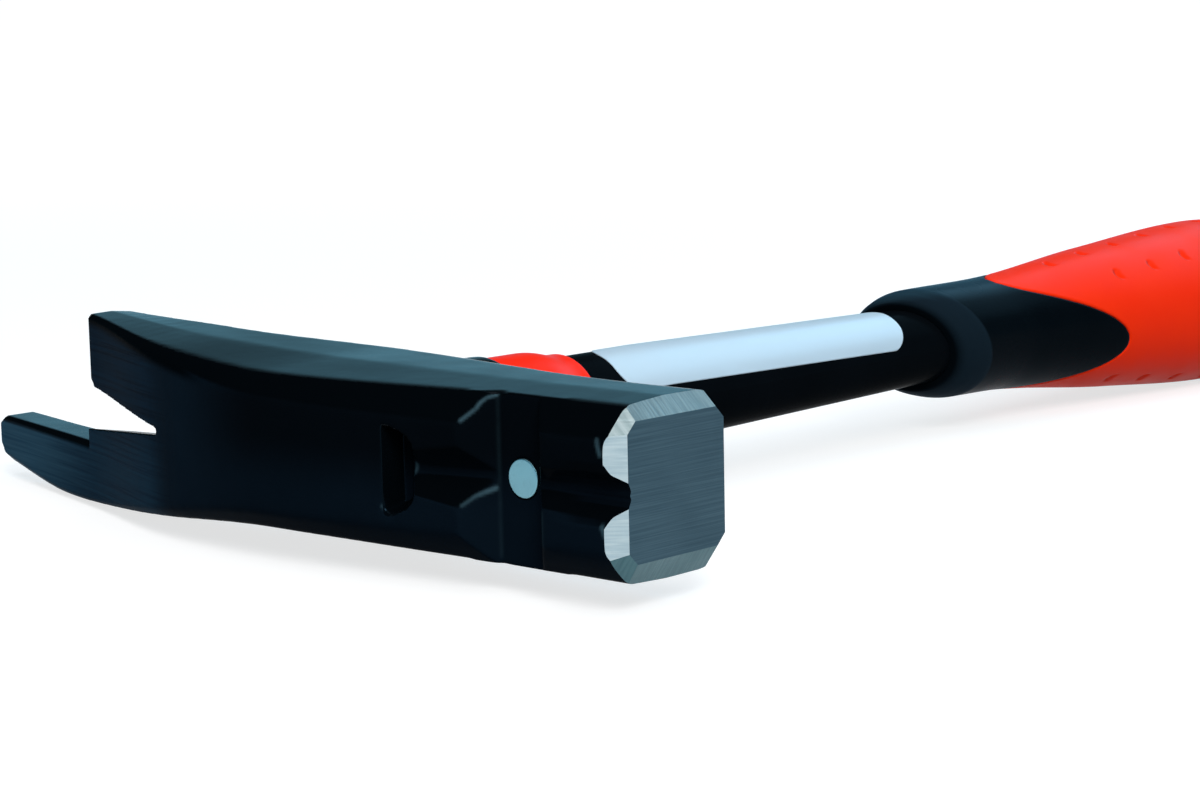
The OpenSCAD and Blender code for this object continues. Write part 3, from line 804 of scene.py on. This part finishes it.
def grind_face(mesh):
    """Cuts the striking face and its bevel, and gives them their materials."""
    head = bmesh.new()
    head.from_mesh(mesh)
    corner = (2 * FACE_HALF - CORNER_CHAMFER) / math.sqrt(2)
    planes = [(Vector((0, 0, 0)), Vector((1, 0, 0)))]
    for k in range(8):
        turn = math.radians(45 * k)
        out = Vector((0, math.sin(turn), math.cos(turn)))
        below = max(0, -out.z)
        reach = (FACE_HALF if k % 2 == 0 else corner) + UNDER_DROP * below
        width = (FACE_BEVEL if k % 2 == 0 else CORNER_BEVEL) + UNDER_BEVEL * below
        slant = (Vector((1, 0, 0)) * width + out * FACE_BEVEL).normalized()
        planes.append((out * (reach - width) * MM, slant))
    for face in head.faces:
        face.smooth = True
    for number, (middle, normal) in enumerate(planes):
        rim = [edge for edge in cut_edges(head, middle, normal, GRIND_GAP) if edge.is_boundary]
        flats = bmesh.ops.holes_fill(head, edges=rim)["faces"]
        for face in bmesh.ops.triangulate(head, faces=flats, ngon_method="EAR_CLIP")["faces"]:
            face.material_index = FACE if number == 0 else BEVEL
            face.smooth = False
        for edge in rim:
            edge.smooth = False
    head.to_mesh(mesh)
    head.free()


def mark_front(mesh):
    """Gives the faces on the crown's side and on the claw their materials."""
    normals = np.empty(len(mesh.polygons) * 3)
    mesh.polygons.foreach_get("normal", normals)
    middles = np.empty(len(mesh.polygons) * 3)
    mesh.polygons.foreach_get("center", middles)
    forward = normals.reshape(-1, 3)[:, 1]
    x, _, z = middles.reshape(-1, 3).T / MM
    claw = x < CLAW_FROM
    front = forward < -FRONT_FACING
    notch = (x < NOTCH_FROM) & (np.abs(z) < NOTCH_HALF)
    number = np.where(front, np.where(claw, CLAW, CROWN), np.where(notch, CROWN, SIDE))
    mesh.polygons.foreach_set("material_index", number.astype(np.int32))


def bead_and_highlight_strength(points, reach):
    """Strength of the thick paint at points of the head, up to a distance from its lines, which sets
    both its rounding and its painted highlight.
    """
    points = points / MM - (HANDLE_X, 0, 0)
    strength = np.zeros(len(points))
    for share, line in PAINT_BEADS_AND_HIGHLIGHTS:
        for start, end in zip(line, line[1:]):
            way = np.subtract(end, start)
            along = np.clip((points - start) @ way / (way @ way), 0, 1)
            gap = np.linalg.norm(points - start - along[:, None] * way, axis=1)
            strength = np.maximum(strength, share * (1 - smooth_step(gap, 0, reach)))
    return strength


def painted_shade_bands(points):
    """Share of painted black shade along the upper edge of the claw and the inner edge of the spike."""
    x, _, z = (points / MM - (HANDLE_X, 0, 0)).T
    edge = smooth_line(CROWN_EDGE)(np.clip(x, CROWN_EDGE[0][0], CROWN_EDGE[-1][0]))
    upper = (1 - smooth_step(edge - z, *EDGE_SHADE_BAND)) * (1 - smooth_step(x, *EDGE_SHADE_END))
    return np.maximum(upper, smooth_step(z, *SPIKE_SHADE_BAND) * (x < SPIKE_ROOT))


def shade_head(mesh):
    """Attributes with the strength of the painted highlight on the thick paint and of the painted black
    shade bands.
    """
    points = mesh_points(mesh)
    shades = {"bead_and_highlight": bead_and_highlight_strength(points, BEAD_HIGHLIGHT_REACH), "edge": painted_shade_bands(points)}
    for name, values in shades.items():
        mesh.attributes.new(name, "FLOAT", "POINT").data.foreach_set("value", values)


def build_head(materials):
    """Forged head, rounded and ground from its CAD solid."""
    blank = head_blank()
    mesh = even_mesh(blank, HEAD_DEPTH)
    bpy.data.meshes.remove(blank)
    mesh.name = "forged_head"
    mesh.materials.clear()
    mark_front(mesh)
    soften_head(mesh)
    shape_end(mesh)
    grind_face(mesh)
    shade_head(mesh)
    return place_piece("forged_head", mesh, materials, "head")


# Collar and magnet

def build_collar(material):
    """Collar with its sleeve, shoulder and lip."""
    lip = COLLAR_BORE + COLLAR_LIP
    start, shoulder, ring, end = COLLAR_ROUNDS
    path = rounded_path((
        (COLLAR_BORE, COLLAR_FROM, 0),
        (COLLAR_SLEEVE, COLLAR_FROM, 0),
        (COLLAR_SLEEVE, COLLAR_NECK, 0),
        (COLLAR_R, COLLAR_NECK, start),
        (COLLAR_R, COLLAR_SHOULDER, shoulder),
        (lip, COLLAR_RING, ring),
        (lip, COLLAR_END, end),
        (COLLAR_BORE, COLLAR_END, 0),
        (COLLAR_BORE, COLLAR_FROM, 0),
    ))
    points, faces = turned(path)
    return new_piece("collar", points, faces, (material,), "socket_collar")


def build_magnet(material):
    """Round magnet with a broken edge."""
    path = rounded_path((
        (POINT_R, MAGNET_FACE, 0),
        (MAGNET_R, MAGNET_FACE, MAGNET_ROUND),
        (MAGNET_R, MAGNET_BACK, 0),
        (POINT_R, MAGNET_BACK, 0),
    ))
    points, faces = turned(path, columns=64, centre_x=MAGNET_X)
    return new_piece("magnet", points, faces, (material,), "nail_magnet")


# Grip

thick_line = smooth_line((
    (GRIP_START, RIM_R),
    *((GRIP_START + back, RIM_R + (RING_R - RIM_R) * share) for back, share in NOSE_CURVE),
    (NOSE_END, RING_R),
    (SWELL_Y, SWELL_R),
    ((SWELL_Y + BELLY_Y) / 2, (RING_R + BELLY_R) / 2 + SWELL_FULL),
    (BELLY_Y, BELLY_R),
    (WAIST_Y, WAIST_R),
    *((BUTT_Y + BUTT_ROUND * along, BUTT_R - BUTT_ROUND * inward) for along, inward in BUTT_CURVE),
))
oval_line = smooth_line((
    (GRIP_START, 0), (NOSE_END, 0), (SWELL_Y, 0.1), (BELLY_Y, 1), (GRIP_END, 1),
))
slope_line = smooth_line(((GRIP_START, 1), (NOSE_END, 1), (SLOPE_END, 0), (GRIP_END, 0)))
grip_angles = np.linspace(0, 2 * math.pi, GRIP_COLUMNS, endpoint=False)


def grip_skin(y, depth=0.0):
    """Points of the grip at stations y, one for each angle, sunk by a depth."""
    share = oval_line(y)
    thick = thick_line(y) - SKIN_INSET
    deep = thick * (1 + GRIP_OVAL * share)
    x = (deep - depth) * np.cos(grip_angles) + BELLY_SHIFT * share
    z = (thick - depth) * np.sin(grip_angles)
    slanted = y + FRONT_SLOPE * slope_line(y) * deep * np.cos(grip_angles + FRONT_TURN)
    return grip_turned(x, slanted, z)


def grip_turned(x, y, z):
    """Points turned round the tube by the turn of the grip."""
    cosine, sine = math.cos(GRIP_TURN), math.sin(GRIP_TURN)
    return np.stack((x * cosine + z * sine, y + 0 * x, z * cosine - x * sine), axis=-1)


def tongue_edge(z):
    """Place of the black tongue's edge at a distance z from its middle."""
    cosine = np.sqrt(np.clip(1 - (z / SWELL_R) ** 2, 0, 1))
    rise = (GRIP_START + TONGUE_REACH + TONGUE_LENGTH * (cosine - 1) - SWELL_Y) / 2
    return SWELL_Y + rise + np.sqrt(rise ** 2 + VALLEY_ROUND ** 2)


def seam_stations():
    """Station of the seam at each angle, found by halving."""
    low = np.full(GRIP_COLUMNS, NOSE_END)
    high = np.full(GRIP_COLUMNS, BELLY_Y)
    for _ in range(SEAM_HALVINGS):
        y = (low + high) / 2
        deep = thick_line(y) * (1 + GRIP_OVAL * oval_line(y))
        place = y + FRONT_SLOPE * slope_line(y) * deep * np.cos(grip_angles + FRONT_TURN)
        before = place < tongue_edge(thick_line(y) * np.sin(grip_angles))
        low = np.where(before, y, low)
        high = np.where(before, high, y)
    return low


seam = seam_stations()
seam_arc = thick_line(seam) * 2 * math.pi / GRIP_COLUMNS
seam_rise = (np.roll(seam, -1) - np.roll(seam, 1)) / (2 * seam_arc)
seam_stretch = np.clip(np.sqrt(1 + seam_rise ** 2), 1, SEAM_STRETCH)


def flat_ring(y, radius, slope=0.0):
    """Ring of a flat end at a radius."""
    slanted = y + slope * radius * np.cos(grip_angles + FRONT_TURN)
    return grip_turned(radius * np.cos(grip_angles), slanted, radius * np.sin(grip_angles))


def end_ring(radius, back):
    """Ring at the butt at a distance from its end."""
    return flat_ring(np.full(GRIP_COLUMNS, GRIP_END - back), radius)


def build_carrier(material):
    """Hard front of the grip with its ring and tongues, and the end of its sleeve at the butt."""
    rows = [flat_ring(GRIP_START + back, r, FRONT_SLOPE) for r, back in CARRIER_RIM]
    for back in np.linspace(RIM_BREAK, NOSE_END - GRIP_START, NOSE_ROWS):
        rows.append(grip_skin(np.full(GRIP_COLUMNS, GRIP_START + back)))
    body_end = seam - SEAM_ROLL[0][0] * seam_stretch
    for t in np.linspace(0, 1, TONGUE_ROWS)[1:]:
        rows.append(grip_skin(NOSE_END + (body_end - NOSE_END) * t))
    for gap, depth in SEAM_ROLL[1:]:
        rows.append(grip_skin(seam - gap * seam_stretch, depth))
    front = np.array(rows)
    end = np.array([end_ring(r, back) for r, back in CARRIER_END])
    faces = ring_faces(len(front), GRIP_COLUMNS)
    faces += ring_faces(len(end), GRIP_COLUMNS, len(front) * GRIP_COLUMNS)
    points = np.concatenate((front.reshape(-1, 3), end.reshape(-1, 3)))
    return new_piece("grip_front", points, faces, (material,), "grip_carrier")


def thumb_marks(y, angle, radius):
    """Depth of the thumbnail marks at points of the shell, and the share of painted shade along their
    walls.
    """
    depth = np.zeros_like(y)
    wall_shade = np.zeros_like(y)
    for row_angle, first in MARK_ROWS:
        climb = math.copysign(MARK_CLIMB, row_angle) * (y - first)
        turn = (angle - np.radians(row_angle + climb) + math.pi) % (2 * math.pi) - math.pi
        across = turn * radius / MARK_HALF
        bow = np.clip(1 - across ** 2, 0, 1)
        for middle in np.arange(first, MARK_LAST, MARK_PITCH):
            behind = y - middle + MARK_SAG * bow
            rise = smooth_step(behind, -MARK_WALL / 2, MARK_WALL / 2)
            fade = 1 - smooth_step(behind, MARK_FLOOR, MARK_LENGTH)
            inside = np.where(np.abs(across) < 1, np.sqrt(bow), 0)
            depth = np.maximum(depth, MARK_DEPTH * rise * fade * inside)
            line = 1 - smooth_step(np.abs(behind), MARK_LINE, MARK_WALL)
            wall_shade = np.maximum(wall_shade, line * inside)
    return depth, wall_shade


def build_shell(material):
    """Soft part of the grip with its thumbnail marks."""
    rolls = [(seam + gap * seam_stretch, depth) for gap, depth in SEAM_ROLL[:0:-1]]
    body_start = seam + SEAM_ROLL[0][0] * seam_stretch
    for t in np.linspace(0, 1, SHELL_ROWS):
        rolls.append((body_start + (BUTT_Y - body_start) * t, 0))
    for t in np.linspace(0, math.pi / 2, BUTT_ROWS)[1:]:
        rolls.append((np.full(GRIP_COLUMNS, BUTT_Y + BUTT_ROUND * math.sin(t)), 0))
    rows, wall_shades = [], []
    for y, depth in rolls:
        mark, wall_shade = thumb_marks(y, grip_angles, thick_line(y))
        rows.append(grip_skin(y, depth + mark))
        wall_shades.append(wall_shade)
    for r, back in SHELL_END:
        rows.append(end_ring(r, back))
        wall_shades.append(np.zeros(GRIP_COLUMNS))
    points = np.array(rows).reshape(-1, 3)
    faces = ring_faces(len(rows), GRIP_COLUMNS)
    piece = new_piece("grip_cover", points, faces, (material,), "grip_shell")
    shade = piece.data.attributes.new("mark", "FLOAT", "POINT")
    shade.data.foreach_set("value", np.array(wall_shades).ravel())
    return piece


# Pieces

build_head((
    side_lacquer_finish(),
    face_steel_finish(),
    bevel_steel_finish(),
    crown_lacquer_finish(),
    claw_lacquer_finish(),
))
build_magnet(magnet_finish())
orange, _, _ = plastic_finish("collar_look", rgb(247, 34, 8), rgb(255, 42, 12), 0.34, 1800)
build_collar(orange.material)
build_carrier(carrier_finish())
build_shell(shell_finish())

grey, _, _ = plastic_finish("plug_look", rgb(44, 44, 44), rgb(58, 58, 58), 0.5, 1500)
cad_looks = {
    "handle_tube": tube_finish(),
    "tube_label": label_finish(),
    "head_plug": grey.material,
    "tube_end_plug": grey.material,
}
for name, look in cad_looks.items():
    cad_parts[name].material_slots[0].material = look


# Floor, light and camera

def build_floor(level):
    """Pale floor that reads white to the camera and in reflections, and takes the shadow."""
    mesh = bpy.data.meshes.new("floor")
    inner, outer = FLOOR_REACH, FLOOR_RIM * FLOOR_REACH
    square = ((-1, -1), (1, -1), (1, 1), (-1, 1))
    points = [(x * inner, y * inner, level) for x, y in square]
    points += [(x * outer, y * outer, level + FLOOR_RISE) for x, y in square]
    faces = [(0, 1, 2, 3)] + [(i, i + 4, (i + 1) % 4 + 4, (i + 1) % 4) for i in range(4)]
    mesh.from_pydata(points, [], faces)
    finish = Finish("floor_look")
    finish.set(Base_Color=FLOOR_GREY, Roughness=0.9, Specular_IOR_Level=0.0)
    path = finish.add("ShaderNodeLightPath")
    seen = finish.math("MAXIMUM", path.outputs["Is Camera Ray"], path.outputs["Is Glossy Ray"])
    seen = finish.math("MAXIMUM", seen, path.outputs["Is Transmission Ray"])
    distance = finish.vector("LENGTH", finish.place, output="Value")
    glow = finish.span(distance, *FLOOR_FADE, *FLOOR_GLOW)
    finish.set(Emission_Color=(1, 1, 1, 1), Emission_Strength=finish.math("MULTIPLY", seen, glow))
    mesh.materials.append(finish.material)
    floor = bpy.data.objects.new("floor", mesh)
    bpy.context.scene.collection.objects.link(floor)


def area_lamp(name, place, target, size, power, colour):
    """Soft rectangular lamp that looks at a target."""
    data = bpy.data.lights.new(name, "AREA")
    data.shape = "RECTANGLE"
    data.size, data.size_y = size
    data.energy = power
    data.color = colour
    lamp = bpy.data.objects.new(name, data)
    way = Vector(target) - Vector(place)
    lamp.matrix_world = Matrix.Translation(place) @ way.to_track_quat("-Z", "Y").to_matrix().to_4x4()
    bpy.context.scene.collection.objects.link(lamp)


def build_world():
    """Studio that lights the hammer from all round."""
    world = bpy.data.worlds.new("studio")
    world.use_nodes = True
    tree = world.node_tree
    tree.nodes.clear()
    out = tree.nodes.new("ShaderNodeOutputWorld")
    sky = tree.nodes.new("ShaderNodeBackground")
    place = tree.nodes.new("ShaderNodeTexCoord")
    split = tree.nodes.new("ShaderNodeSeparateXYZ")
    ramp = tree.nodes.new("ShaderNodeValToRGB")
    first, last = ramp.color_ramp.elements
    first.position, first.color = SKY[0]
    last.position, last.color = SKY[-1]
    for position, colour in SKY[1:-1]:
        ramp.color_ramp.elements.new(position).color = colour
    tree.links.new(place.outputs["Generated"], split.inputs[0])
    tree.links.new(split.outputs["Z"], ramp.inputs[0])
    tree.links.new(ramp.outputs[0], sky.inputs["Color"])
    tree.links.new(sky.outputs[0], out.inputs["Surface"])
    bpy.context.scene.world = world


def camera_turn():
    """Rows of the camera's right, down and forward directions."""
    yaw = math.radians(CAMERA_YAW)
    level = Matrix(((math.cos(yaw), math.sin(yaw), 0), (0, 0, -1), (-math.sin(yaw), math.cos(yaw), 0)))
    tilt = Matrix.Rotation(math.radians(CAMERA_PITCH), 3, "X")
    lean = Matrix.Rotation(math.radians(CAMERA_ROLL), 3, "Z")
    return lean @ tilt @ level


def build_camera():
    """Camera at the photograph's viewing angle."""
    data = bpy.data.cameras.new("camera")
    data.sensor_fit = "HORIZONTAL"
    data.sensor_width = SENSOR
    data.lens = CAMERA_FOCAL * SENSOR / IMAGE_WIDTH
    data.clip_start = 0.01
    data.clip_end = 4 * FLOOR_REACH
    camera = bpy.data.objects.new("camera", data)
    right, down, ahead = (Vector(row) for row in camera_turn())
    turn = Matrix((right, -down, -ahead)).transposed()
    eye = (Vector(CAMERA_EYE) + Vector((HANDLE_X, 0, 0))) * MM
    camera.matrix_world = Matrix.Translation(eye) @ turn.to_4x4()
    bpy.context.scene.collection.objects.link(camera)
    bpy.context.scene.camera = camera


build_floor(cad_bounds[0].z)
build_world()
for lamp in LAMPS:
    area_lamp(*lamp)
build_camera()

bpy.context.scene.view_settings.view_transform = "Standard"
